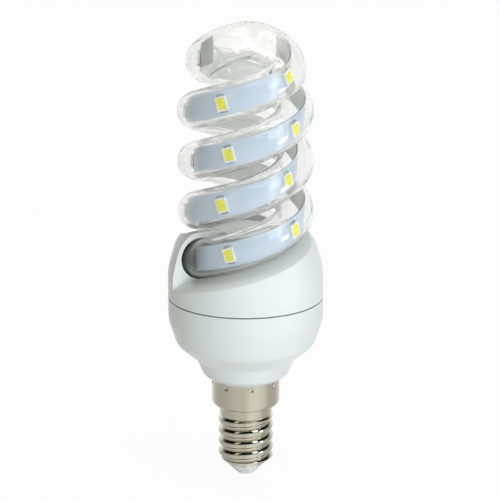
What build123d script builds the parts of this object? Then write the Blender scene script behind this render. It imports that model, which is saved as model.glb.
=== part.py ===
from build123d import *
import os
from math import atan, cos, degrees, pi, radians, sin, sqrt

# LED spiral lamp on an E14 screw cap: a clear glass tube wound as a double helix, with a
# light strip in each arm, on a two-part housing that holds the driver.
# Millimetres, +Z up along the lamp's axis, origin under the end contact, -Y is the front.
# Angles are degrees about +Z, counted from +X.

# Fits
fit_clearance = 0.15
seam_gap = 0.35
cut_margin = 1.0

# End contact and insulator
contact_face_diameter = 2.4
contact_diameter = 3.4
contact_drop = 0.3
stud_diameter = 1.8
insulator_tip_diameter = 4.2
insulator_tip_radius = 0.5
insulator_flange_height = 2.6

# Screw shell, E14 with a 17 mm skirt
thread_crest_diameter = 13.8
thread_root_diameter = 12.2
thread_pitch = 2.822
thread_rib_width = 2.5
thread_rib_sink = 0.2
thread_start_height = 1.8
thread_lead_in_slope = 0.9
shell_wall = 0.75
rim_height = 3.0
rim_thickness = 0.7
rim_overlap = 0.6
collar_diameter = 13.2
collar_height = 2.6
collar_edge_radius = 0.4
skirt_diameter = 17.0
skirt_sheet = 0.4
skirt_bottom_height = 18.5
skirt_height = 7.2
skirt_corner_radius = 1.6
punch_count = 8
punch_first_angle = 10.0
punch_ball_diameter = 1.8
punch_depth = 0.3
punch_drop = 1.0

# Lower housing, from the lip on the skirt up to the seam
housing_wall = 1.5
lip_overhang = 0.1
stem_length = 5.5
lip_flare_diameter = 21.2
lip_flare_rise = 1.3
neck_top_diameter = 24.8
neck_rise = 4.0
bowl_floor_diameter = 34.6
bowl_floor_rise = 4.2
bowl_side_rise = 6.2
bowl_rim_rise = 5.6
lip_flare_radius = 1.3
neck_radius = 2.5
bowl_floor_radius = 3.5
bowl_side_radius = 8.0
board_ledge_drop = 7.5
board_ledge_width = 1.5

# Glass tube, two arms wound side by side that meet over the top
tube_diameter = 9.4
tube_wall = 0.8
tube_joint_gap = 0.02
ring_arc_count = 8
coil_diameter = 24.1
coil_pitch = 25.25
mouth_angle = 202.0
mouth_rise = 10.95
tube_tail_angle = 28.0
coil_angle = 653.5
crossing_angle = 35.0
crossing_rise = 8.0
bend_lead_in = 6.9
bend_lead_out = 7.35

# Upper cover, from the seam up to the hoods
hood_margin = 2.55
hood_roof = 1.6
mouth_clearance = 0.25
mouth_edge_bevel = 0.7
mouth_bevel_angle = 45.0
ramp_clearance = 0.6
ramp_fall = 0.2
ramp_edge_inset = 1.2
ramp_edge_fall = 1.0
ramp_edge_radius = 5.0
ramp_post_clearance = 0.6
ramp_corner_radius = 2.5
cover_wall_rise = 7.0
crown_inset = 1.9
crown_drop = 3.5
crown_bevel = 2.8
shoulder_radius = 15.0
crown_radius = 5.0
top_radius = 4.0
spigot_wall = 1.4

# Light strips and their emitters
strip_width = 6.0
strip_thickness = 0.25
strip_edge_clearance = 0.05
strip_lean = 0.85
strip_tail_angle = 10.0
strip_end_radius = 7.5
strip_end_angle = 100.0
strip_end_slope = 0.48
led_length = 2.8
led_width = 3.5
led_height = 0.7
led_seat_gap = 0.02
led_step_angle = 72.0
led_first_angle = 250.0
led_shift_angle_b = -36.0
led_end_angle_a = 45.0
led_end_angle_b = 12.0
window_length = 2.1
window_width = 2.7
window_depth = 0.35
window_gap = 0.03

# Driver board and its components
board_thickness = 1.2
bulk_capacitor_diameter = 8.0
bulk_capacitor_height = 12.0
bulk_capacitor_groove = 0.4
bulk_capacitor_groove_drop = 1.6
choke_diameter = 8.0
choke_height = 7.0
choke_flange = 1.0
choke_post_diameter = 3.6
choke_winding_diameter = 7.0
choke_place = (7.5, -5.0)
film_capacitor_size = (8.0, 4.0, 7.0)
film_capacitor_place = (-6.5, 6.0)
film_capacitor_radius = 0.6
rectifier_size = (4.7, 3.8, 1.6)
rectifier_place = (0.0, -9.5)
chip_size = (4.9, 3.9, 1.5)
chip_place = (5.5, 4.5)
lead_section = 0.4
lead_reach = 0.9
resistor_body_diameter = 2.4
resistor_body_length = 6.5
resistor_lead_diameter = 0.6
resistor_lead_span = 10.0
resistor_place = (-6.5, -4.0)
chip_resistor_size = (2.0, 1.25, 0.5)
chip_resistor_spacing = 2.4
chip_resistor_count = 4
chip_resistor_place = (-3.0, 1.0)
wire_diameter = 0.9
wire_bend_radius = 4.0
wire_seat_gap = 0.05
strip_lead_shares = (0.2, 0.8)

# Heights up the lamp
skirt_top_height = skirt_bottom_height + skirt_height
lip_flare_height = skirt_top_height + lip_flare_rise
neck_top_height = lip_flare_height + neck_rise
bowl_floor_height = neck_top_height + bowl_floor_rise
bowl_side_height = bowl_floor_height + bowl_side_rise
seam_height = bowl_side_height + bowl_rim_rise
housing_rim_height = seam_height - seam_gap / 2
cover_base_height = seam_height + seam_gap / 2
board_height = housing_rim_height - board_ledge_drop
board_top_height = board_height + board_thickness
mouth_height = seam_height + mouth_rise

# Radii about the lamp's axis
tube_radius = tube_diameter / 2
bore_radius = tube_radius - tube_wall
coil_radius = coil_diameter / 2
housing_radius = coil_radius + tube_radius + hood_margin
root_radius = thread_root_diameter / 2
crest_radius = thread_crest_diameter / 2
shell_bore_radius = root_radius - shell_wall
rim_radius = shell_bore_radius - rim_overlap
collar_radius = collar_diameter / 2
skirt_radius = skirt_diameter / 2
skirt_inner_radius = skirt_radius - skirt_sheet
stem_radius = skirt_inner_radius - fit_clearance
stem_bore_radius = stem_radius - housing_wall
ledge_outer_radius = housing_radius - housing_wall - fit_clearance
ledge_inner_radius = ledge_outer_radius - board_ledge_width
board_radius = ledge_outer_radius - fit_clearance
spigot_radius = ledge_outer_radius - fit_clearance
spigot_inner_radius = spigot_radius - spigot_wall
mouth_radius = tube_radius + mouth_clearance
dome_height = mouth_height + mouth_radius + hood_roof
hood_cavity_radius = coil_radius + tube_radius + mouth_clearance + hood_margin / 4


def turned_profile(points, radii=0):
    """Outline of a turned piece in the XZ half plane, from (radius, height) points."""
    with BuildSketch(Plane.XZ) as outline:
        with BuildLine():
            FilletPolyline(*points, radius=radii, close=True)
        make_face()
    return outline.sketch


def on_axis(angle, radius, height=0.0):
    """Point at an angle and a radius from the lamp's axis."""
    return Vector(radius * cos(radians(angle)), radius * sin(radians(angle)), height)


def write_step(piece, name):
    """Label a finished piece and write it as its own file."""
    piece.part.label = name
    export_step(piece.part, f"parts/{name}.step")


os.makedirs("parts", exist_ok=True)
upright = (Align.CENTER, Align.CENTER, Align.MIN)
from_seat = (Align.MIN, Align.CENTER, Align.CENTER)

# End contact: a riveted plate with a stud through the insulator
insulator_top_height = rim_height + rim_thickness + insulator_flange_height
with BuildPart() as end_contact:
    revolve(
        turned_profile([
            (0, 0),
            (contact_face_diameter / 2, 0),
            (contact_diameter / 2, contact_drop),
            (stud_diameter / 2, contact_drop),
            (stud_diameter / 2, insulator_top_height),
            (0, insulator_top_height),
        ]),
        axis=Axis.Z,
    )
write_step(end_contact, "end_contact")

# Insulator: a cone below the shell's rim, with a flange held inside it
cone_radius = rim_radius - fit_clearance
cone_top_height = contact_drop + cone_radius - insulator_tip_diameter / 2
flange_radius = shell_bore_radius - fit_clearance
stud_hole_radius = stud_diameter / 2 + fit_clearance
with BuildPart() as cap_insulator:
    revolve(
        turned_profile(
            [
                (stud_hole_radius, contact_drop),
                (insulator_tip_diameter / 2, contact_drop),
                (cone_radius, cone_top_height),
                (cone_radius, rim_height + rim_thickness),
                (flange_radius, rim_height + rim_thickness),
                (flange_radius, insulator_top_height),
                (stud_hole_radius, insulator_top_height),
            ],
            radii=[0, insulator_tip_radius, insulator_tip_radius, 0, 0, 0, 0],
        ),
        axis=Axis.Z,
    )
write_step(cap_insulator, "cap_insulator")

# Thread rib: a round-backed ridge on a right-handed helix that fades out under the collar
collar_base_height = skirt_bottom_height - collar_height
rib_foot_radius = root_radius - thread_rib_sink
rib_envelope_radius = crest_radius + cut_margin
rib_top_height = skirt_bottom_height - thread_rib_width
with BuildPart() as thread_rib:
    with BuildLine() as thread_path:
        Helix(
            thread_pitch,
            rib_top_height - thread_start_height,
            root_radius,
            center=(0, 0, thread_start_height),
        )
    with BuildSketch(Plane.XZ):
        with BuildLine():
            ThreePointArc(
                (rib_foot_radius, thread_start_height - thread_rib_width / 2),
                (crest_radius, thread_start_height),
                (rib_foot_radius, thread_start_height + thread_rib_width / 2),
            )
            Line(
                (rib_foot_radius, thread_start_height + thread_rib_width / 2),
                (rib_foot_radius, thread_start_height - thread_rib_width / 2),
            )
        make_face()
    sweep(path=thread_path.line, is_frenet=True)
    fade_radius = rib_foot_radius - thread_rib_sink
    revolve(
        turned_profile([
            (rib_envelope_radius, collar_base_height - (rib_envelope_radius - collar_radius)),
            (fade_radius, collar_base_height + collar_radius - fade_radius),
            (fade_radius, skirt_bottom_height + cut_margin),
            (rib_envelope_radius, skirt_bottom_height + cut_margin),
        ]),
        axis=Axis.Z,
        mode=Mode.SUBTRACT,
    )

# Screw shell: turned-in rim, threaded barrel, collar and skirt, staked by punch marks
barrel_height = skirt_bottom_height + skirt_sheet
with BuildPart() as screw_shell:
    Cylinder(root_radius, barrel_height, align=upright)
    add(thread_rib.part)
    revolve(
        turned_profile([
            (0, -cut_margin),
            (0, rim_height),
            (rim_radius, rim_height),
            (
                rib_envelope_radius,
                rim_height + (rib_envelope_radius - rim_radius) * thread_lead_in_slope,
            ),
            (rib_envelope_radius, -cut_margin),
        ]),
        axis=Axis.Z,
        mode=Mode.SUBTRACT,
    )
    revolve(
        turned_profile(
            [
                (0, collar_base_height),
                (collar_radius, collar_base_height),
                (collar_radius, skirt_bottom_height),
                (skirt_radius, skirt_bottom_height),
                (skirt_radius, skirt_top_height),
                (0, skirt_top_height),
            ],
            radii=[0, collar_edge_radius, 0, skirt_corner_radius, 0, 0],
        ),
        axis=Axis.Z,
    )
    revolve(
        turned_profile(
            [
                (0, rim_height - cut_margin),
                (rim_radius, rim_height - cut_margin),
                (rim_radius, rim_height + rim_thickness),
                (shell_bore_radius, rim_height + rim_thickness),
                (shell_bore_radius, skirt_bottom_height + skirt_sheet),
                (skirt_inner_radius, skirt_bottom_height + skirt_sheet),
                (skirt_inner_radius, skirt_top_height + cut_margin),
                (0, skirt_top_height + cut_margin),
            ],
            radii=[0, 0, 0, 0, 0, skirt_corner_radius - skirt_sheet, 0, 0],
        ),
        axis=Axis.Z,
        mode=Mode.SUBTRACT,
    )
    with Locations((0, 0, skirt_top_height - punch_drop)):
        with PolarLocations(
            skirt_radius + punch_ball_diameter / 2 - punch_depth,
            punch_count,
            start_angle=punch_first_angle,
        ):
            Sphere(punch_ball_diameter / 2, mode=Mode.SUBTRACT)
write_step(screw_shell, "screw_shell")

# Lower housing: a stem inside the skirt, a flared neck and a round bowl with a board ledge
stem_bottom_height = skirt_top_height - stem_length
with BuildPart() as lower_housing:
    revolve(
        turned_profile(
            [
                (0, stem_bottom_height),
                (stem_radius, stem_bottom_height),
                (stem_radius, skirt_top_height),
                (skirt_radius + lip_overhang, skirt_top_height),
                (lip_flare_diameter / 2, lip_flare_height),
                (neck_top_diameter / 2, neck_top_height),
                (bowl_floor_diameter / 2, bowl_floor_height),
                (housing_radius, bowl_side_height),
                (housing_radius, housing_rim_height),
                (0, housing_rim_height),
            ],
            radii=[
                0, 0, 0, 0, lip_flare_radius, neck_radius, bowl_floor_radius, bowl_side_radius, 0, 0,
            ],
        ),
        axis=Axis.Z,
    )
    revolve(
        turned_profile([
            (0, stem_bottom_height - cut_margin),
            (stem_bore_radius, stem_bottom_height - cut_margin),
            (stem_bore_radius, lip_flare_height + housing_wall),
            (neck_top_diameter / 2 - housing_wall, neck_top_height + housing_wall / 2),
            (ledge_inner_radius, bowl_floor_height + housing_wall),
            (ledge_inner_radius, board_height),
            (ledge_outer_radius, board_height),
            (ledge_outer_radius, housing_rim_height + cut_margin),
            (0, housing_rim_height + cut_margin),
        ]),
        axis=Axis.Z,
        mode=Mode.SUBTRACT,
    )
write_step(lower_housing, "lower_housing")


def ramp_section(start_angle, wall):
    """Radial section of the space above a ramp, at an angle past its mouth.

    A wall makes the space larger on its floor and its post.
    """
    post_radius = coil_radius - tube_radius - ramp_post_clearance - wall
    rise = coil_pitch * start_angle / 360
    floor = mouth_height + rise - tube_radius - ramp_clearance - wall
    edge_radius = housing_radius - ramp_edge_inset
    edge = floor - (edge_radius - coil_radius) * ramp_fall
    outer_radius = housing_radius + cut_margin
    ceiling = dome_height + 2 * cut_margin
    return turned_profile(
        [
            (post_radius, ceiling),
            (post_radius, floor),
            (coil_radius, floor),
            (edge_radius, edge),
            (outer_radius, edge - (outer_radius - edge_radius) * ramp_edge_fall),
            (outer_radius, ceiling),
        ],
        radii=[0, ramp_corner_radius, 0, ramp_edge_radius, 0, 0],
    )


def ramp_cutter(start_angle, wall):
    """Helical space above a ramp, from a radial face to where the ramp leaves the dome."""
    with BuildPart() as cutter:
        with BuildLine() as ramp_path:
            Helix(
                coil_pitch,
                coil_pitch * (180 - start_angle) / 360,
                coil_radius,
                center=(0, 0, mouth_height + coil_pitch * start_angle / 360),
            )
        sweep(sections=ramp_section(start_angle, wall), path=ramp_path.line, is_frenet=True)
    return cutter.part.rotate(Axis.Z, start_angle)


# Upper cover: a domed cap with two helical ramps, each starting at the mouth of a hood
cover_shoulder_height = cover_base_height + cover_wall_rise
crown_height = dome_height - crown_drop
crown_radius_top = housing_radius - crown_inset - crown_bevel
spigot_bottom_height = board_top_height + fit_clearance
cavity_crown_radius = hood_cavity_radius - crown_inset / 2
mouth_wall_angle = degrees(housing_wall / coil_radius)
with BuildPart() as cover_cavity:
    revolve(
        turned_profile([
            (0, spigot_bottom_height - cut_margin),
            (spigot_inner_radius, spigot_bottom_height - cut_margin),
            (spigot_inner_radius, cover_base_height + housing_wall),
            (hood_cavity_radius, cover_base_height + 2 * housing_wall),
            (hood_cavity_radius, cover_shoulder_height),
            (cavity_crown_radius, crown_height),
            (crown_radius_top - housing_wall, dome_height - hood_roof),
            (0, dome_height - hood_roof),
        ]),
        axis=Axis.Z,
    )
    with PolarLocations(0, 2, start_angle=mouth_angle):
        add(ramp_cutter(-mouth_wall_angle, housing_wall), mode=Mode.SUBTRACT)

coil_slope = coil_pitch / (2 * pi * coil_radius)
mouth_bore_reach = housing_wall + mouth_radius * coil_slope + cut_margin / 2
mouth_plane = Plane(
    origin=(coil_radius, 0, mouth_height),
    x_dir=(1, 0, 0),
    z_dir=(0, 1, coil_slope),
)
with BuildPart() as mouth_bore:
    with BuildSketch(mouth_plane):
        Circle(mouth_radius)
    extrude(amount=mouth_bore_reach, both=True)

cover_outline = turned_profile(
    [
        (0, spigot_bottom_height),
        (spigot_radius, spigot_bottom_height),
        (spigot_radius, cover_base_height),
        (housing_radius, cover_base_height),
        (housing_radius, cover_shoulder_height),
        (housing_radius - crown_inset, crown_height),
        (crown_radius_top, dome_height),
        (0, dome_height),
    ],
    radii=[0, 0, 0, 0, shoulder_radius, crown_radius, top_radius, 0],
)

# Bevel along the outer edge of a mouth's face
with BuildPart() as mouth_bevel:
    extrude(ramp_section(0, 0), amount=mouth_edge_bevel)
    extrude(
        offset(cover_outline, -mouth_edge_bevel),
        amount=mouth_edge_bevel,
        taper=-mouth_bevel_angle,
        mode=Mode.SUBTRACT,
    )

with BuildPart() as upper_cover:
    revolve(cover_outline, axis=Axis.Z)
    with PolarLocations(0, 2, start_angle=mouth_angle):
        add(ramp_cutter(0, 0), mode=Mode.SUBTRACT)
        add(mouth_bevel.part, mode=Mode.SUBTRACT)
    add(cover_cavity.part, mode=Mode.SUBTRACT)
    with PolarLocations(0, 2, start_angle=mouth_angle):
        add(mouth_bore.part, mode=Mode.SUBTRACT)
write_step(upper_cover, "upper_cover")

# Glass tube: each arm runs from inside its hood up the coil and bends in to the crossing,
# where the two arms meet end to end
tube_start_angle = mouth_angle - tube_tail_angle
tube_start_height = mouth_height - coil_pitch * tube_tail_angle / 360
arm_angle = tube_tail_angle + coil_angle
coil_top_height = mouth_height + coil_pitch * coil_angle / 360
crossing = Vector(0, 0, coil_top_height + crossing_rise)
crossing_heading = on_axis(crossing_angle - tube_start_angle, 1)
arm_end = crossing - crossing_heading * tube_joint_gap / 2


def ring_of_arcs(plane):
    """Section of the tube with its circles left in arcs, so that the swept glass has narrow faces."""
    arc_angle = 360 / ring_arc_count
    starts = [arc_angle * k for k in range(ring_arc_count)]
    outer, inner = (
        Wire([Edge.make_circle(radius, plane, start, start + arc_angle) for start in starts])
        for radius in (tube_radius, bore_radius)
    )
    return Face(outer, [inner])


with BuildPart() as tube_arm:
    with BuildLine() as arm_path:
        coil = Helix(
            coil_pitch,
            coil_pitch * arm_angle / 360,
            coil_radius,
            center=(0, 0, tube_start_height),
        )
        Bezier(
            coil @ 1,
            coil @ 1 + (coil % 1) * bend_lead_in,
            arm_end - crossing_heading * bend_lead_out,
            arm_end,
        )
    sweep(
        sections=ring_of_arcs(Plane(origin=coil @ 0, z_dir=coil % 0)),
        path=arm_path.line,
        clean=False,
    )

for arm, turn in (("a", 0), ("b", 180)):
    with BuildPart() as glass_arm:
        with Locations(Location((0, 0, 0), (0, 0, tube_start_angle + turn))):
            add(tube_arm.part, clean=False)
    write_step(glass_arm, f"glass_arm_{arm}")

# Light strips: each lies against the outer side of its bore, leaning to one side of the coil
strip_reach = sqrt(bore_radius**2 - (strip_width / 2 + strip_edge_clearance) ** 2)
strip_radius = coil_radius + strip_reach - strip_lean - strip_thickness / 2
strip_lead_angle = degrees(atan(coil_pitch / (2 * pi * strip_radius)))
strip_band_height = strip_width / cos(radians(strip_lead_angle))
strip_start_angle = tube_start_angle - strip_tail_angle
strip_turn_angle = strip_tail_angle + arm_angle
strip_start_height = tube_start_height - coil_pitch * strip_tail_angle / 360
strip_top_angle = strip_start_angle + strip_turn_angle
strip_end_pitch = 2 * pi * strip_end_radius * strip_end_slope


def strip_height(angle):
    """Height of the strip's middle line on the coil."""
    return strip_start_height + coil_pitch * (angle - strip_start_angle) / 360


def strip_length(pitch, turn_angle, radius):
    """Band on a helix about +Z that starts on the +X side."""
    with BuildPart() as band:
        with BuildLine() as band_path:
            Helix(pitch, pitch * turn_angle / 360, radius)
        with BuildSketch(Plane.XZ):
            with Locations((radius, 0)):
                Rectangle(strip_thickness, strip_band_height)
        sweep(path=band_path.line, is_frenet=True)
    return band.part


def led_seat(axis_point, angle, radius, height, lead_angle):
    """Plane on the strip's outer face: X outwards, Y along the strip, Z across it."""
    outward = on_axis(angle, 1)
    along = on_axis(angle + 90, cos(radians(lead_angle)), sin(radians(lead_angle)))
    place = axis_point + outward * (radius + strip_thickness / 2 + led_seat_gap)
    return Plane(origin=place + Vector(0, 0, height), x_dir=outward, z_dir=outward.cross(along))


strip_coil = strip_length(coil_pitch, strip_turn_angle, strip_radius)
strip_end = strip_length(strip_end_pitch, strip_end_angle, strip_end_radius)
strip_end_lead_angle = degrees(atan(strip_end_slope))

for arm, turn, led_shift_angle, led_end_angle in (
    ("a", 0, 0, led_end_angle_a),
    ("b", 180, led_shift_angle_b, led_end_angle_b),
):
    strip_axis = on_axis(turn, strip_lean)
    end_axis = strip_axis + on_axis(strip_top_angle + turn, strip_radius - strip_end_radius)
    top_height = strip_height(strip_top_angle)

    with BuildPart() as light_strip:
        with Locations(
            Location(strip_axis + Vector(0, 0, strip_start_height), (0, 0, strip_start_angle + turn))
        ):
            add(strip_coil)
        with Locations(
            Location(end_axis + Vector(0, 0, top_height), (0, 0, strip_top_angle + turn))
        ):
            add(strip_end)
    write_step(light_strip, f"light_strip_{arm}")

    seats = []
    led_angle = led_first_angle + led_shift_angle
    while led_angle < strip_top_angle:
        seats.append(
            led_seat(
                strip_axis, led_angle + turn, strip_radius, strip_height(led_angle), strip_lead_angle
            )
        )
        led_angle += led_step_angle
    seats.append(
        led_seat(
            end_axis,
            strip_top_angle + turn + led_end_angle,
            strip_end_radius,
            top_height + strip_end_pitch * led_end_angle / 360,
            strip_end_lead_angle,
        )
    )

    with BuildPart() as led_bodies:
        with Locations(*seats):
            Box(led_height, led_length, led_width, align=from_seat)
            with Locations((led_height - window_depth, 0, 0)):
                Box(
                    window_depth + cut_margin,
                    window_length,
                    window_width,
                    align=from_seat,
                    mode=Mode.SUBTRACT,
                )
    write_step(led_bodies, f"led_bodies_{arm}")

    with BuildPart() as led_windows:
        with Locations(*seats):
            with Locations((led_height - window_depth, 0, 0)):
                Box(
                    window_depth,
                    window_length - 2 * window_gap,
                    window_width - 2 * window_gap,
                    align=from_seat,
                )
    write_step(led_windows, f"led_windows_{arm}")

    # Two supply wires, from the board up to the tail of the strip
    wire_ring_radius = strip_radius - strip_thickness / 2 - wire_diameter / 2 - wire_seat_gap
    with BuildPart() as strip_leads:
        for share in strip_lead_shares:
            tail_angle = strip_start_angle + share * strip_tail_angle
            tail_height = strip_height(tail_angle)
            foot = strip_axis + on_axis(tail_angle + turn, wire_ring_radius)
            with Locations((foot.X, foot.Y, board_top_height)):
                Cylinder(wire_diameter / 2, tail_height - board_top_height, align=upright)
    write_step(strip_leads, f"strip_leads_{arm}")

# Driver board, on the ledge of the lower housing and held down by the cover's spigot
with BuildPart() as driver_board:
    with Locations((0, 0, board_height)):
        Cylinder(board_radius, board_thickness, align=upright)
write_step(driver_board, "driver_board")

# Bulk capacitor, hanging from the board into the neck, with a rolled groove near its foot
can_radius = bulk_capacitor_diameter / 2
can_bottom_height = board_height - bulk_capacitor_height
with BuildPart() as bulk_capacitor:
    with Locations((0, 0, can_bottom_height)):
        Cylinder(can_radius, bulk_capacitor_height, align=upright)
    fillet(bulk_capacitor.edges().group_by(Axis.Z)[0], bulk_capacitor_groove)
    with Locations((0, 0, board_height - bulk_capacitor_groove_drop)):
        Torus(can_radius + bulk_capacitor_groove / 2, bulk_capacitor_groove, mode=Mode.SUBTRACT)
write_step(bulk_capacitor, "bulk_capacitor")

# Choke: a ferrite drum with its winding between the flanges
choke_inner_height = choke_height - 2 * choke_flange
with BuildPart() as choke_core:
    with Locations((*choke_place, board_top_height)):
        Cylinder(choke_post_diameter / 2, choke_height, align=upright)
        Cylinder(choke_diameter / 2, choke_flange, align=upright)
    with Locations((*choke_place, board_top_height + choke_height - choke_flange)):
        Cylinder(choke_diameter / 2, choke_flange, align=upright)
write_step(choke_core, "choke_core")

with BuildPart() as choke_winding:
    with Locations((*choke_place, board_top_height + choke_flange)):
        Cylinder(choke_winding_diameter / 2, choke_inner_height, align=upright)
        Cylinder(
            choke_post_diameter / 2 + fit_clearance, choke_inner_height, align=upright, mode=Mode.SUBTRACT
        )
write_step(choke_winding, "choke_winding")

# Film capacitor: a potted box with rounded edges, standing on the board
with BuildPart() as film_capacitor:
    with Locations((*film_capacitor_place, board_top_height)):
        Box(*film_capacitor_size, align=upright)
    fillet(film_capacitor.edges().filter_by(Axis.Z), film_capacitor_radius)
    fillet(film_capacitor.edges().group_by(Axis.Z)[-1], film_capacitor_radius / 2)
write_step(film_capacitor, "film_capacitor")


def leaded_package(size, place, leads_per_side):
    """Moulded package on the board with flat leads along its two long sides."""
    length, width, height = size
    with BuildPart() as package:
        with Locations((*place, board_top_height)):
            Box(length, width, height, align=upright)
        chamfer(package.edges().group_by(Axis.Z)[-1], lead_section)
        with Locations((*place, board_top_height)):
            with GridLocations(length / leads_per_side, width + lead_reach, leads_per_side, 2):
                Box(lead_section, 2 * lead_reach, lead_section, align=upright)
    return package


bridge_rectifier = leaded_package(rectifier_size, rectifier_place, 2)
write_step(bridge_rectifier, "bridge_rectifier")
driver_chip = leaded_package(chip_size, chip_place, 4)
write_step(driver_chip, "driver_chip")

# Fusible resistor: an axial body with both leads bent down to the board
resistor_axis_height = board_top_height + resistor_body_diameter / 2 + fit_clearance
resistor_plane = Plane(origin=(*resistor_place, resistor_axis_height), x_dir=(0, 1, 0), z_dir=(1, 0, 0))
with BuildPart() as fuse_resistor:
    with BuildSketch(resistor_plane):
        Circle(resistor_body_diameter / 2)
    extrude(amount=resistor_body_length / 2, both=True)
    fillet(fuse_resistor.edges(), resistor_body_diameter / 4)
    with BuildLine() as lead_path:
        FilletPolyline(
            (resistor_place[0] - resistor_lead_span / 2, resistor_place[1], board_top_height),
            (resistor_place[0] - resistor_lead_span / 2, resistor_place[1], resistor_axis_height),
            (resistor_place[0] + resistor_lead_span / 2, resistor_place[1], resistor_axis_height),
            (resistor_place[0] + resistor_lead_span / 2, resistor_place[1], board_top_height),
            radius=resistor_lead_diameter,
        )
    with BuildSketch(Plane(origin=lead_path.line @ 0, z_dir=lead_path.line % 0)):
        Circle(resistor_lead_diameter / 2)
    sweep(path=lead_path.line)
write_step(fuse_resistor, "fuse_resistor")

# Chip resistors in a row on the board
with BuildPart() as chip_resistors:
    with Locations((*chip_resistor_place, board_top_height)):
        with GridLocations(chip_resistor_spacing, 0, chip_resistor_count, 1):
            Box(chip_resistor_size[1], chip_resistor_size[0], chip_resistor_size[2], align=upright)
write_step(chip_resistors, "chip_resistors")

# Supply leads: both run down beside the capacitor, live to the contact's stud on the axis
# and neutral along the shell's bore
lead_offset = shell_bore_radius - wire_diameter / 2 - wire_seat_gap
with BuildPart() as live_lead:
    with BuildLine() as live_path:
        FilletPolyline(
            (lead_offset, 0, board_height),
            (lead_offset, 0, stem_bottom_height + 2 * wire_diameter),
            (0, 0, insulator_top_height + wire_bend_radius + wire_diameter),
            (0, 0, insulator_top_height),
            radius=wire_bend_radius,
        )
    with BuildSketch(Plane(origin=live_path.line @ 0, z_dir=live_path.line % 0)):
        Circle(wire_diameter / 2)
    sweep(path=live_path.line)
write_step(live_lead, "live_lead")

with BuildPart() as neutral_lead:
    with Locations((-lead_offset, 0, collar_base_height)):
        Cylinder(wire_diameter / 2, board_height - collar_base_height, align=upright)
write_step(neutral_lead, "neutral_lead")
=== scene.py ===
from math import cos, radians, sin

import bmesh
import bpy
import numpy as np
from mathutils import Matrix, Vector


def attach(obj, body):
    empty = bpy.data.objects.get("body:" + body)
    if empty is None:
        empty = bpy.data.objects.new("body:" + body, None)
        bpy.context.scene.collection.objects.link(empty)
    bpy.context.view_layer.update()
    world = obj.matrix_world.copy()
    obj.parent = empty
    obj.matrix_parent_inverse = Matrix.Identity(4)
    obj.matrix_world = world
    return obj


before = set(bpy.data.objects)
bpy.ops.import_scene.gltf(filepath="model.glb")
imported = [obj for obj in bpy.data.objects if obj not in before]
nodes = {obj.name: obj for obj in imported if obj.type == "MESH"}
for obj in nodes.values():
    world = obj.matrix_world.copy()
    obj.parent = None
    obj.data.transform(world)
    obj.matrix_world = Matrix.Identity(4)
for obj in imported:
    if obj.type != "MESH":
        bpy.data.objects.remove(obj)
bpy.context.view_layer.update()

# Looks of the LED spiral lamp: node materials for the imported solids, the solder at the emitters,
# a white studio and the camera. Metres, +Z up along the lamp's axis, -Y is the front.

mm = 0.001

# Camera, from the photograph's outline
camera_distance = 0.700
camera_elevation = 16.4
camera_side_step = 1.09 * mm
target_height = 58.75 * mm
camera_lens = 203.1
camera_sensor = 36.0

# Places on the solids that the finishes follow
skirt_bottom_height = 18.5 * mm
coil_radius = 12.05 * mm
mouth_angle = 202.0
mouth_height = 57.95 * mm
mouth_inner_radius = 5.0 * mm
mouth_face_reach = 0.25 * mm
hood_floor = 51.0 * mm
hood_ceiling = 63.0 * mm
strip_lean = 0.85 * mm
strip_end_height = 104.5 * mm
crossing_angle = 35.0
crossing_floor = 105.0 * mm
joint_reach = 0.05 * mm
joint_facing = 0.9

# Where one finish fades into the next
satin_blend = 3.0 * mm
strip_end_blend = 2.0 * mm

# Painted shade in the hoods: in the cover's crevices and bores, on the glass, and on the strips
crevice_reach = 25.0 * mm
bore_reach = 5.15 * mm
bore_depth = 3.0 * mm
glass_shade = 0.8
glass_shade_tail = 6.0 * mm
glass_shade_ahead = (1.0 * mm, 3.2 * mm)
glass_shade_outward = (coil_radius + 0.5 * mm, coil_radius + 3.0 * mm)
strip_shade_ahead = (-1.2 * mm, -0.4 * mm)

# Haze of the glass, face on and at its edges
haze_middle = 0.015
haze_edge = 0.12

# Solder at the two ends of each emitter: rows along it, smaller at the outer rows
solder_length = 2.0 * mm
solder_reach = 0.45 * mm
solder_height = 0.30 * mm
solder_rows = ((-0.5, 0.6), (-0.42, 1.0), (0.0, 1.0), (0.42, 1.0), (0.5, 0.6))
solder_hollow = 0.12

# Range of a noise over which it changes a finish
noise_range = (0.3, 0.7)


def feed(tree, node, inputs):
    """Sets a node's inputs, each to a value or to another node's output."""
    for name, value in inputs.items():
        if isinstance(value, bpy.types.NodeSocket):
            tree.links.new(value, node.inputs[name])
        else:
            node.inputs[name].default_value = value


def add_node(tree, kind, inputs=None, **settings):
    """New node with its settings and inputs."""
    node = tree.nodes.new(kind)
    for name, value in settings.items():
        setattr(node, name, value)
    feed(tree, node, inputs or {})
    return node


def new_material(name):
    """Node material with one shader: (material, its tree, its shader)."""
    material = bpy.data.materials.new(name)
    material.use_nodes = True
    return material, material.node_tree, material.node_tree.nodes["Principled BSDF"]


def place(tree):
    """Position on the object, in metres."""
    return add_node(tree, "ShaderNodeTexCoord").outputs["Object"]


def noise(tree, position, scale, detail=3.0):
    """Noise from 0 to 1 at a scale of features per metre."""
    inputs = {"Vector": position, "Scale": scale, "Detail": detail, "Roughness": 0.5}
    return add_node(tree, "ShaderNodeTexNoise", inputs).outputs["Fac"]


def mix_colour(tree, factor, first, second):
    """Mix of two colours by a factor."""
    inputs = {0: factor, 6: first, 7: second}
    return add_node(tree, "ShaderNodeMix", inputs, data_type="RGBA").outputs[2]


def mix_shaders(tree, factor, first, second):
    """Mix of two shaders by a factor."""
    return add_node(tree, "ShaderNodeMixShader", {0: factor, 1: first, 2: second}).outputs["Shader"]


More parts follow.
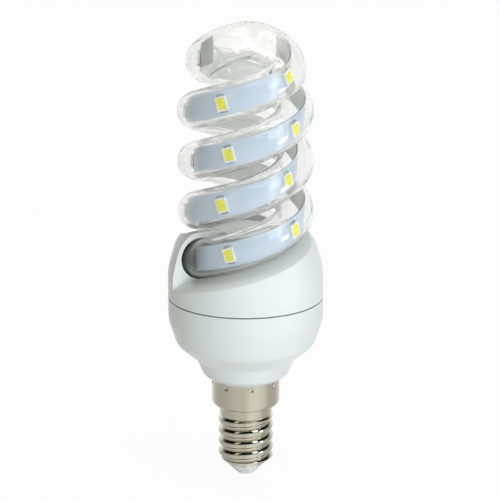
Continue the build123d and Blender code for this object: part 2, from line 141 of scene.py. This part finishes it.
def remap(tree, value, source, target):
    """Value carried from one range to another, held at its ends."""
    inputs = {
        "Value": value,
        "From Min": source[0],
        "From Max": source[1],
        "To Min": target[0],
        "To Max": target[1],
    }
    return add_node(tree, "ShaderNodeMapRange", inputs).outputs["Result"]


def calc(tree, operation, *values):
    """Arithmetic on outputs and numbers."""
    return add_node(tree, "ShaderNodeMath", dict(enumerate(values)), operation=operation).outputs[0]


def over(tree, value, limit):
    """One where a value is over a limit, else nought."""
    return calc(tree, "GREATER_THAN", value, limit)


def under(tree, value, limit):
    """One where a value is under a limit, else nought."""
    return calc(tree, "LESS_THAN", value, limit)


def product(tree, first, *others):
    """Product of several values, such as masks that all have to hold."""
    for other in others:
        first = calc(tree, "MULTIPLY", first, other)
    return first


def vector_calc(tree, operation, *vectors):
    """Node for arithmetic on vectors."""
    return add_node(tree, "ShaderNodeVectorMath", dict(enumerate(vectors)), operation=operation)


def dot(tree, first, second):
    """Dot product of two vectors."""
    return vector_calc(tree, "DOT_PRODUCT", first, second).outputs["Value"]


def level(tree, vector):
    """Upward part of a vector."""
    return add_node(tree, "ShaderNodeSeparateXYZ", {"Vector": vector}).outputs["Z"]


def relief(tree, shader, height, distance):
    """Bump on a shader, from a height of 0 to 1 over a distance."""
    bump = add_node(tree, "ShaderNodeBump", {"Height": height, "Distance": distance, "Strength": 1.0})
    feed(tree, shader, {"Normal": bump.outputs["Normal"]})


def rgba(red, green, blue):
    """Opaque colour."""
    return (red, green, blue, 1.0)


def grained(name, colour, roughness, metallic=0.0, grain=900.0, spread=0.12):
    """Material of one colour with a fine grain in its colour, gloss and relief."""
    material, tree, shader = new_material(name)
    position = place(tree)
    fine = noise(tree, position, grain)
    broad = noise(tree, position, grain / 12, detail=2.0)
    dark = rgba(*(c * (1 - spread) for c in colour))
    light = rgba(*(min(1.0, c * (1 + spread)) for c in colour))
    feed(tree, shader, {
        "Base Color": mix_colour(tree, broad, dark, light),
        "Roughness": remap(tree, fine, noise_range, (roughness * 0.8, roughness * 1.2)),
        "Metallic": metallic,
    })
    relief(tree, shader, fine, 0.01 * mm)
    return material


def mouth_sides(tree, position):
    """How far a point lies ahead of the nearer mouth's face, and how far out on that side."""
    side = dot(tree, position, (cos(radians(mouth_angle)), sin(radians(mouth_angle)), 0.0))
    ahead = dot(tree, position, (-sin(radians(mouth_angle)), cos(radians(mouth_angle)), 0.0))
    return calc(tree, "MULTIPLY", ahead, calc(tree, "SIGN", side)), calc(tree, "ABSOLUTE", side)


def moulded_white():
    """White moulded plastic: satin, faintly mottled, painted light on the mouths' faces, painted shade in the
    hoods.
    """
    material, tree, shader = new_material("moulded_white")
    position = place(tree)
    height = level(tree, position)
    mottle = noise(tree, position, 60.0, detail=2.0)
    colour = mix_colour(tree, mottle, rgba(0.80, 0.82, 0.815), rgba(0.84, 0.855, 0.85))
    ahead, outward = mouth_sides(tree, position)
    # Painted light: the mouths' faces get a whiter colour than the rest of the moulding, to lighten them
    painted_light_on_face = product(
        tree,
        over(tree, outward, mouth_inner_radius),
        over(tree, height, hood_floor),
        under(tree, calc(tree, "ABSOLUTE", ahead), mouth_face_reach),
    )
    colour = mix_colour(tree, painted_light_on_face, colour, rgba(0.97, 0.98, 0.97))
    # Painted shade: the colour goes dark in the cover's crevices, found by ambient occlusion, and in the bores
    # behind the mouths
    openness = add_node(
        tree, "ShaderNodeAmbientOcclusion", {"Distance": crevice_reach}, samples=8, only_local=True
    ).outputs["AO"]
    crevice_shade = remap(tree, openness, (0.08, 0.26), (1.0, 0.0))
    across = calc(tree, "SUBTRACT", outward, coil_radius)
    above = calc(tree, "SUBTRACT", height, mouth_height)
    from_tube = calc(tree, "MULTIPLY_ADD", across, across, calc(tree, "MULTIPLY", above, above))
    bore_shade = product(
        tree,
        under(tree, from_tube, bore_reach**2),
        under(tree, ahead, -mouth_face_reach),
        over(tree, ahead, -bore_depth),
    )
    painted_shade = calc(tree, "MAXIMUM", crevice_shade, bore_shade)
    feed(tree, shader, {
        "Base Color": mix_colour(tree, painted_shade, colour, rgba(0.04, 0.055, 0.035)),
        "Roughness": remap(tree, mottle, noise_range, (0.26, 0.36)),
        "Specular IOR Level": 0.35,
    })
    relief(tree, shader, noise(tree, position, 2600.0, detail=2.0), 0.004 * mm)
    return material


def nickel_plate():
    """Nickel-plated sheet: bright on the rolled thread, satin on the skirt, with drawing marks round it."""
    material, tree, shader = new_material("nickel_plate")
    position = place(tree)
    stretched = add_node(
        tree, "ShaderNodeMapping", {"Vector": position, "Scale": (1.0, 1.0, 30.0)}
    ).outputs["Vector"]
    drawing = noise(tree, stretched, 160.0, detail=4.0)
    stain = noise(tree, position, 220.0)
    satin_heights = (skirt_bottom_height - satin_blend, skirt_bottom_height)
    satin = remap(tree, level(tree, position), satin_heights, (0.07, 0.20))
    scatter = remap(tree, drawing, noise_range, (0.0, 0.06))
    feed(tree, shader, {
        "Base Color": mix_colour(tree, stain, rgba(0.60, 0.57, 0.46), rgba(0.68, 0.645, 0.535)),
        "Roughness": calc(tree, "ADD", satin, scatter),
        "Metallic": 1.0,
    })
    relief(tree, shader, drawing, 0.006 * mm)
    return material


def clear_glass():
    """Clear drawn glass, a little wavy, hazy at its edges, that lets lamps through to what it holds.

    By the mouths its outer side carries painted shade, a dark matt coat that stands for the dark inside of the
    hood. The faces where the two arms
    meet over the top do not show: the real tube is one piece of glass.
    """
    material, tree, shader = new_material("clear_glass")
    position = place(tree)
    height = level(tree, position)
    feed(tree, shader, {
        "Base Color": rgba(0.997, 0.996, 0.992),
        "Transmission Weight": 1.0,
        "IOR": 1.47,
        "Roughness": 0.0,
    })
    relief(tree, shader, noise(tree, position, 140.0, detail=1.0), 0.05 * mm)

    facing = add_node(tree, "ShaderNodeLayerWeight", {"Blend": 0.5}).outputs["Facing"]
    haze = remap(tree, facing, (0.2, 1.0), (haze_middle, haze_edge))
    bloom = add_node(tree, "ShaderNodeBsdfDiffuse", {"Color": rgba(0.93, 0.925, 0.89)}).outputs["BSDF"]
    surface = mix_shaders(tree, haze, shader.outputs["BSDF"], bloom)

    # Painted shade: a dark matt coat on the glass on the outer side of each mouth
    ahead, outward = mouth_sides(tree, position)
    hood_shade = product(
        tree,
        remap(tree, ahead, glass_shade_ahead, (1.0, 0.0)),
        over(tree, ahead, -glass_shade_tail),
        remap(tree, outward, glass_shade_outward, (0.0, 1.0)),
        under(tree, height, hood_ceiling),
        glass_shade,
    )
    dark = add_node(tree, "ShaderNodeBsdfDiffuse", {"Color": rgba(0.05, 0.06, 0.045)}).outputs["BSDF"]
    surface = mix_shaders(tree, hood_shade, surface, dark)

    heading = (cos(radians(crossing_angle)), sin(radians(crossing_angle)), 0.0)
    normal = add_node(tree, "ShaderNodeNewGeometry").outputs["True Normal"]
    joint = product(
        tree,
        under(tree, calc(tree, "ABSOLUTE", dot(tree, position, heading)), joint_reach),
        over(tree, calc(tree, "ABSOLUTE", dot(tree, normal, heading)), joint_facing),
        over(tree, height, crossing_floor),
    )
    in_shadow = add_node(tree, "ShaderNodeLightPath").outputs["Is Shadow Ray"]
    tint = mix_colour(tree, joint, rgba(0.995, 0.998, 0.995), rgba(1.0, 1.0, 1.0))
    passing = add_node(tree, "ShaderNodeBsdfTransparent", {"Color": tint}).outputs["BSDF"]
    surface = mix_shaders(tree, calc(tree, "MAXIMUM", in_shadow, joint), surface, passing)
    feed(tree, tree.nodes["Material Output"], {"Surface": surface})
    return material


def strip_film(name, side):
    """Light strip: glossy pale blue face with a grey end, white back, painted shade on the top edges and in
    its hood.
    """
    material, tree, shader = new_material(name)
    position = place(tree)
    height = level(tree, position)
    normal = add_node(tree, "ShaderNodeNewGeometry").outputs["Normal"]
    from_axis = vector_calc(tree, "ADD", position, (-side * strip_lean, 0.0, 0.0)).outputs["Vector"]
    flat = vector_calc(tree, "MULTIPLY", from_axis, (1.0, 1.0, 0.0)).outputs["Vector"]
    outward = vector_calc(tree, "NORMALIZE", flat).outputs["Vector"]
    facing = dot(tree, outward, normal)
    mottle = noise(tree, position, 180.0, detail=2.0)
    at_end = remap(tree, height, (strip_end_height, strip_end_height + strip_end_blend), (0.0, 1.0))
    face = mix_colour(tree, mottle, rgba(0.56, 0.65, 0.765), rgba(0.615, 0.705, 0.825))
    face = mix_colour(tree, at_end, face, rgba(0.60, 0.595, 0.58))
    back = mix_colour(tree, mottle, rgba(0.90, 0.895, 0.86), rgba(0.95, 0.945, 0.91))
    # Painted shade: edges that face up are coloured much darker than those that face down
    shaded_top = remap(tree, level(tree, normal), (-0.2, 0.2), (0.0, 1.0))
    edge = mix_colour(tree, shaded_top, rgba(0.60, 0.62, 0.58), rgba(0.10, 0.11, 0.09))
    colour = mix_colour(tree, remap(tree, facing, (0.2, 0.6), (0.0, 1.0)), edge, face)
    colour = mix_colour(tree, remap(tree, facing, (-0.6, -0.2), (1.0, 0.0)), colour, back)
    # Painted shade: the strip's tail inside the hood is coloured dark
    out_of_mouth = (-side * sin(radians(mouth_angle)), side * cos(radians(mouth_angle)), 0.0)
    hood_shade = product(
        tree,
        remap(tree, dot(tree, position, out_of_mouth), strip_shade_ahead, (1.0, 0.0)),
        under(tree, height, hood_ceiling),
    )
    feed(tree, shader, {
        "Base Color": mix_colour(tree, hood_shade, colour, rgba(0.04, 0.05, 0.035)),
        "Roughness": remap(tree, mottle, noise_range, (0.14, 0.20)),
    })
    relief(tree, shader, noise(tree, position, 700.0), 0.004 * mm)
    return material


def phosphor_gel():
    """Yellow gel of an emitter, paler in patches."""
    material, tree, shader = new_material("phosphor_gel")
    cloud = noise(tree, place(tree), 700.0)
    feed(tree, shader, {
        "Base Color": mix_colour(tree, cloud, rgba(0.95, 0.85, 0.02), rgba(0.97, 0.90, 0.06)),
        "Roughness": remap(tree, cloud, noise_range, (0.22, 0.34)),
        "Specular IOR Level": 0.2,
    })
    relief(tree, shader, cloud, 0.03 * mm)
    return material


def dress(node, material):
    """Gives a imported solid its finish."""
    piece = nodes[node]
    piece.data.materials.clear()
    piece.data.materials.append(material)


def emitter_frames(node):
    """Centre, axes (outward, along the strip, across it) and half sizes of each emitter in a group.

    The half sizes are those outward and across.
    """
    mesh = bmesh.new()
    mesh.from_mesh(nodes[node].data)
    bmesh.ops.remove_doubles(mesh, verts=mesh.verts, dist=0.001 * mm)
    left = set(mesh.verts)
    frames = []
    while left:
        island, front = set(), [left.pop()]
        while front:
            vert = front.pop()
            island.add(vert)
            near = {edge.other_vert(vert) for edge in vert.link_edges} & left
            left -= near
            front.extend(near)
        points = np.array([vert.co for vert in island])
        low, high = points.min(axis=0), points.max(axis=0)
        centre = Vector((low + high) / 2)
        _, axes = np.linalg.eigh(np.cov((points - np.array(centre)).T))
        outward, along, across = (Vector(axes[:, k]) for k in range(3))
        if outward.dot(Vector((centre.x, centre.y, 0.0))) < 0:
            outward.negate()
        extents = [np.abs((points - np.array(centre)) @ np.array(axis)).max() for axis in (outward, across)]
        frames.append((centre, outward, along, across, extents))
    mesh.free()
    return frames


def solder_joints(name, node):
    """Rounded solder wedges against both ends of each emitter of a group."""
    mesh = bmesh.new()
    for centre, outward, along, across, (half_height, half_width) in emitter_frames(node):
        for side in (-1, 1):
            foot = centre - outward * half_height + across * side * half_width
            rows = []
            for share, swell in solder_rows:
                base = foot + along * share * solder_length
                tip = base + across * side * solder_reach * swell
                crest = base + outward * solder_height * swell
                middle = (tip + crest) / 2 - (tip + crest - 2 * base) * solder_hollow
                rows.append([mesh.verts.new(point) for point in (base, tip, middle, crest)])
            for first, second in zip(rows, rows[1:]):
                for k in range(4):
                    mesh.faces.new((first[k], first[(k + 1) % 4], second[(k + 1) % 4], second[k]))
            mesh.faces.new(rows[0])
            mesh.faces.new(reversed(rows[-1]))
    bmesh.ops.recalc_face_normals(mesh, faces=mesh.faces)
    data = bpy.data.meshes.new(name)
    mesh.to_mesh(data)
    mesh.free()
    for polygon in data.polygons:
        polygon.use_smooth = True
    piece = bpy.data.objects.new(name, data)
    bpy.context.scene.collection.objects.link(piece)
    return piece


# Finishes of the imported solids
white = moulded_white()
black_moulding = grained("black_moulding", (0.03, 0.03, 0.03), 0.45)
white_wire = grained("white_wire", (0.80, 0.80, 0.78), 0.45)
led_white = grained("led_white", (0.94, 0.93, 0.88), 0.42, spread=0.03)
phosphor = phosphor_gel()
glass = clear_glass()
finishes = {
    "end_contact": grained("contact_tin", (0.62, 0.61, 0.58), 0.32, metallic=1.0),
    "cap_insulator": grained("insulator_white", (0.92, 0.92, 0.91), 0.38, spread=0.03),
    "screw_shell": nickel_plate(),
    "lower_housing": white,
    "upper_cover": white,
    "glass_arm_a": glass,
    "glass_arm_b": glass,
    "light_strip_a": strip_film("strip_film_a", 1),
    "light_strip_b": strip_film("strip_film_b", -1),
    "led_bodies_a": led_white,
    "led_bodies_b": led_white,
    "led_windows_a": phosphor,
    "led_windows_b": phosphor,
    "strip_leads_a": white_wire,
    "strip_leads_b": white_wire,
    "driver_board": grained("board_green", (0.06, 0.22, 0.10), 0.35, grain=1500.0),
    "bulk_capacitor": grained("capacitor_sleeve", (0.04, 0.05, 0.08), 0.30),
    "choke_core": grained("ferrite", (0.07, 0.07, 0.07), 0.65, grain=2500.0),
    "choke_winding": grained("copper_wire", (0.70, 0.34, 0.18), 0.28, metallic=1.0),
    "film_capacitor": grained("capacitor_resin", (0.45, 0.10, 0.06), 0.22),
    "bridge_rectifier": black_moulding,
    "driver_chip": black_moulding,
    "fuse_resistor": grained("resistor_coat", (0.25, 0.46, 0.52), 0.35),
    "chip_resistors": grained("chip_ceramic", (0.05, 0.05, 0.06), 0.40),
    "live_lead": grained("red_wire", (0.52, 0.03, 0.02), 0.40),
    "neutral_lead": grained("blue_wire", (0.03, 0.07, 0.40), 0.40),
}
for node, material in finishes.items():
    dress(node, material)

solder = grained("solder", (0.42, 0.42, 0.40), 0.25, metallic=1.0, grain=3000.0)
for arm in ("a", "b"):
    joints = solder_joints(f"solder_joints_{arm}", f"led_bodies_{arm}")
    joints.data.materials.append(solder)
    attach(joints, "root")


def looked_at(tree, *kinds):
    """One for rays of these kinds that no matt surface has scattered, nought for the light on the lamp."""
    rays = add_node(tree, "ShaderNodeLightPath")
    seen = 0.0
    for kind in kinds:
        seen = calc(tree, "MAXIMUM", rays.outputs[kind], seen)
    return calc(tree, "MULTIPLY", seen, under(tree, rays.outputs["Diffuse Depth"], 0.5))


# White floor: it shows as white and keeps part of the lamp's shadow. In mirrors only it carries a painted
# reflection, brightest towards the front right and behind the lamp, dimmer to the sides.
floor_half = 3.0
floor_glow = 0.95
floor_shade = 0.74
side_shade = 0.78
painted_reflection_bearing = 38.0
floor_data = bpy.data.meshes.new("studio_floor")
floor_data.from_pydata(
    [(x * floor_half, y * floor_half, 0.0) for x, y in ((-1, -1), (1, -1), (1, 1), (-1, 1))],
    [],
    [(0, 1, 2, 3)],
)
floor = bpy.data.objects.new("studio_floor", floor_data)
bpy.context.scene.collection.objects.link(floor)
floor_material, tree, shader = new_material("studio_floor")
feed(tree, shader, {"Base Color": rgba(0.85, 0.85, 0.85), "Roughness": 0.9})
seen = looked_at(tree, "Is Camera Ray", "Is Transmission Ray", "Is Glossy Ray")
bearing = vector_calc(tree, "NORMALIZE", place(tree)).outputs["Vector"]
painted_reflection_heading = (sin(radians(painted_reflection_bearing)), -cos(radians(painted_reflection_bearing)), 0.0)
# Painted reflection: in gloss the floor glows brighter towards the front right and behind the lamp
painted_reflection = calc(
    tree,
    "MAXIMUM",
    remap(tree, dot(tree, bearing, painted_reflection_heading), (0.78, 0.92), (floor_shade, 1.0)),
    remap(tree, dot(tree, bearing, (0.0, 1.0, 0.0)), (0.4, 0.9), (floor_shade, 1.0)),
)
sideways = calc(tree, "ABSOLUTE", dot(tree, bearing, (1.0, 0.0, 0.0)))
painted_reflection = calc(tree, "MULTIPLY", painted_reflection, remap(tree, sideways, (0.6, 0.95), (1.0, side_shade)))
in_gloss = add_node(tree, "ShaderNodeLightPath").outputs["Is Glossy Ray"]
strength = calc(tree, "MAXIMUM", painted_reflection, calc(tree, "SUBTRACT", 1.0, in_gloss))
glow = add_node(tree, "ShaderNodeEmission", {"Color": rgba(1.0, 1.0, 1.0), "Strength": strength})
mixed = mix_shaders(
    tree, calc(tree, "MULTIPLY", seen, floor_glow), shader.outputs["BSDF"], glow.outputs["Emission"]
)
feed(tree, tree.nodes["Material Output"], {"Surface": mixed})
floor_data.materials.append(floor_material)

# Studio: it shows as white. Its light is dark overhead, and cooler and brighter on the right. A white backdrop
# shows in mirrors only.
world = bpy.data.worlds.new("studio")
world.use_nodes = True
bpy.context.scene.world = world
tree = world.node_tree
direction = add_node(tree, "ShaderNodeTexCoord").outputs["Generated"]
axes = add_node(tree, "ShaderNodeSeparateXYZ", {"Vector": direction})
rightward = remap(tree, axes.outputs["X"], (-0.8, 0.8), (0.0, 1.0))
background = tree.nodes["Background"]
feed(tree, background, {
    "Color": mix_colour(tree, rightward, rgba(0.30, 0.32, 0.20), rgba(0.74, 0.83, 0.92)),
    "Strength": remap(tree, axes.outputs["Z"], (0.10, 0.35), (0.75, 0.02)),
})
backdrop = product(
    tree,
    remap(tree, axes.outputs["Y"], (0.3, 0.8), (0.0, 1.0)),
    remap(tree, axes.outputs["Z"], (0.35, 0.60), (1.0, 0.0)),
    looked_at(tree, "Is Glossy Ray"),
)
seen = calc(tree, "MAXIMUM", looked_at(tree, "Is Camera Ray", "Is Transmission Ray"), backdrop)
white_field = add_node(tree, "ShaderNodeBackground", {"Color": rgba(1.0, 1.0, 1.0), "Strength": 1.0})
mixed = mix_shaders(tree, seen, background.outputs["Background"], white_field.outputs["Background"])
feed(tree, tree.nodes["World Output"], {"Surface": mixed})


def soft_box(name, place_at, aim, size, power, colour, mirrored=True, refracted=True):
    """Rectangular lamp facing a point; it may show in mirrors or through glass, and not to the camera."""
    lamp = bpy.data.lights.new(name, "AREA")
    lamp.shape = "RECTANGLE"
    lamp.size, lamp.size_y = size
    lamp.energy = power
    lamp.color = colour
    piece = bpy.data.objects.new(name, lamp)
    piece.location = place_at
    piece.rotation_euler = (Vector(aim) - Vector(place_at)).to_track_quat("-Z", "Y").to_euler()
    piece.visible_camera = False
    piece.visible_glossy = mirrored
    piece.visible_transmission = refracted
    bpy.context.scene.collection.objects.link(piece)


lamp_middle = (0.0, 0.0, target_height)
soft_box("key_box", (0.45, -0.50, 0.55), lamp_middle, (0.30, 0.60), power=1.15, colour=(0.82, 0.93, 1.0))
soft_box("fill_box", (-0.50, -0.50, 0.50), lamp_middle, (0.25, 0.60), power=0.33, colour=(1.0, 1.0, 0.70))
soft_box(
    "top_box", (0.1, -0.1, 1.0), lamp_middle, (0.8, 0.8), power=4.5, colour=(1.0, 1.0, 1.0), mirrored=False
)
soft_box(
    "front_card", (0.06, -0.45, 0.02), (0.0, 0.0, 0.04), (0.50, 0.14), power=1.5, colour=(0.92, 0.98, 1.0),
    mirrored=False, refracted=False,
)
soft_box(
    "back_card", (0.0, 0.55, 0.35), lamp_middle, (0.60, 0.40), power=1.2, colour=(1.0, 1.0, 1.0),
    mirrored=False, refracted=False,
)
soft_box("low_card", (0.20, -0.09, 0.04), (0.0, 0.0, 0.08), (0.05, 0.08), power=0.07, colour=(1.0, 1.0, 1.0))

# Camera
elevation = radians(camera_elevation)
target = Vector((camera_side_step, 0.0, target_height))
lens = bpy.data.cameras.new("photo_camera")
lens.lens = camera_lens
lens.sensor_width = camera_sensor
camera = bpy.data.objects.new("photo_camera", lens)
camera.location = target + camera_distance * Vector((0.0, -cos(elevation), sin(elevation)))
camera.rotation_euler = (target - camera.location).to_track_quat("-Z", "Y").to_euler()
bpy.context.scene.collection.objects.link(camera)
bpy.context.scene.camera = camera
bpy.context.scene.view_settings.view_transform = "Standard"

# Light bounces enough to cross all the walls of the glass
light_bounces = 32
bpy.context.scene.cycles.max_bounces = light_bounces
bpy.context.scene.cycles.transmission_bounces = light_bounces
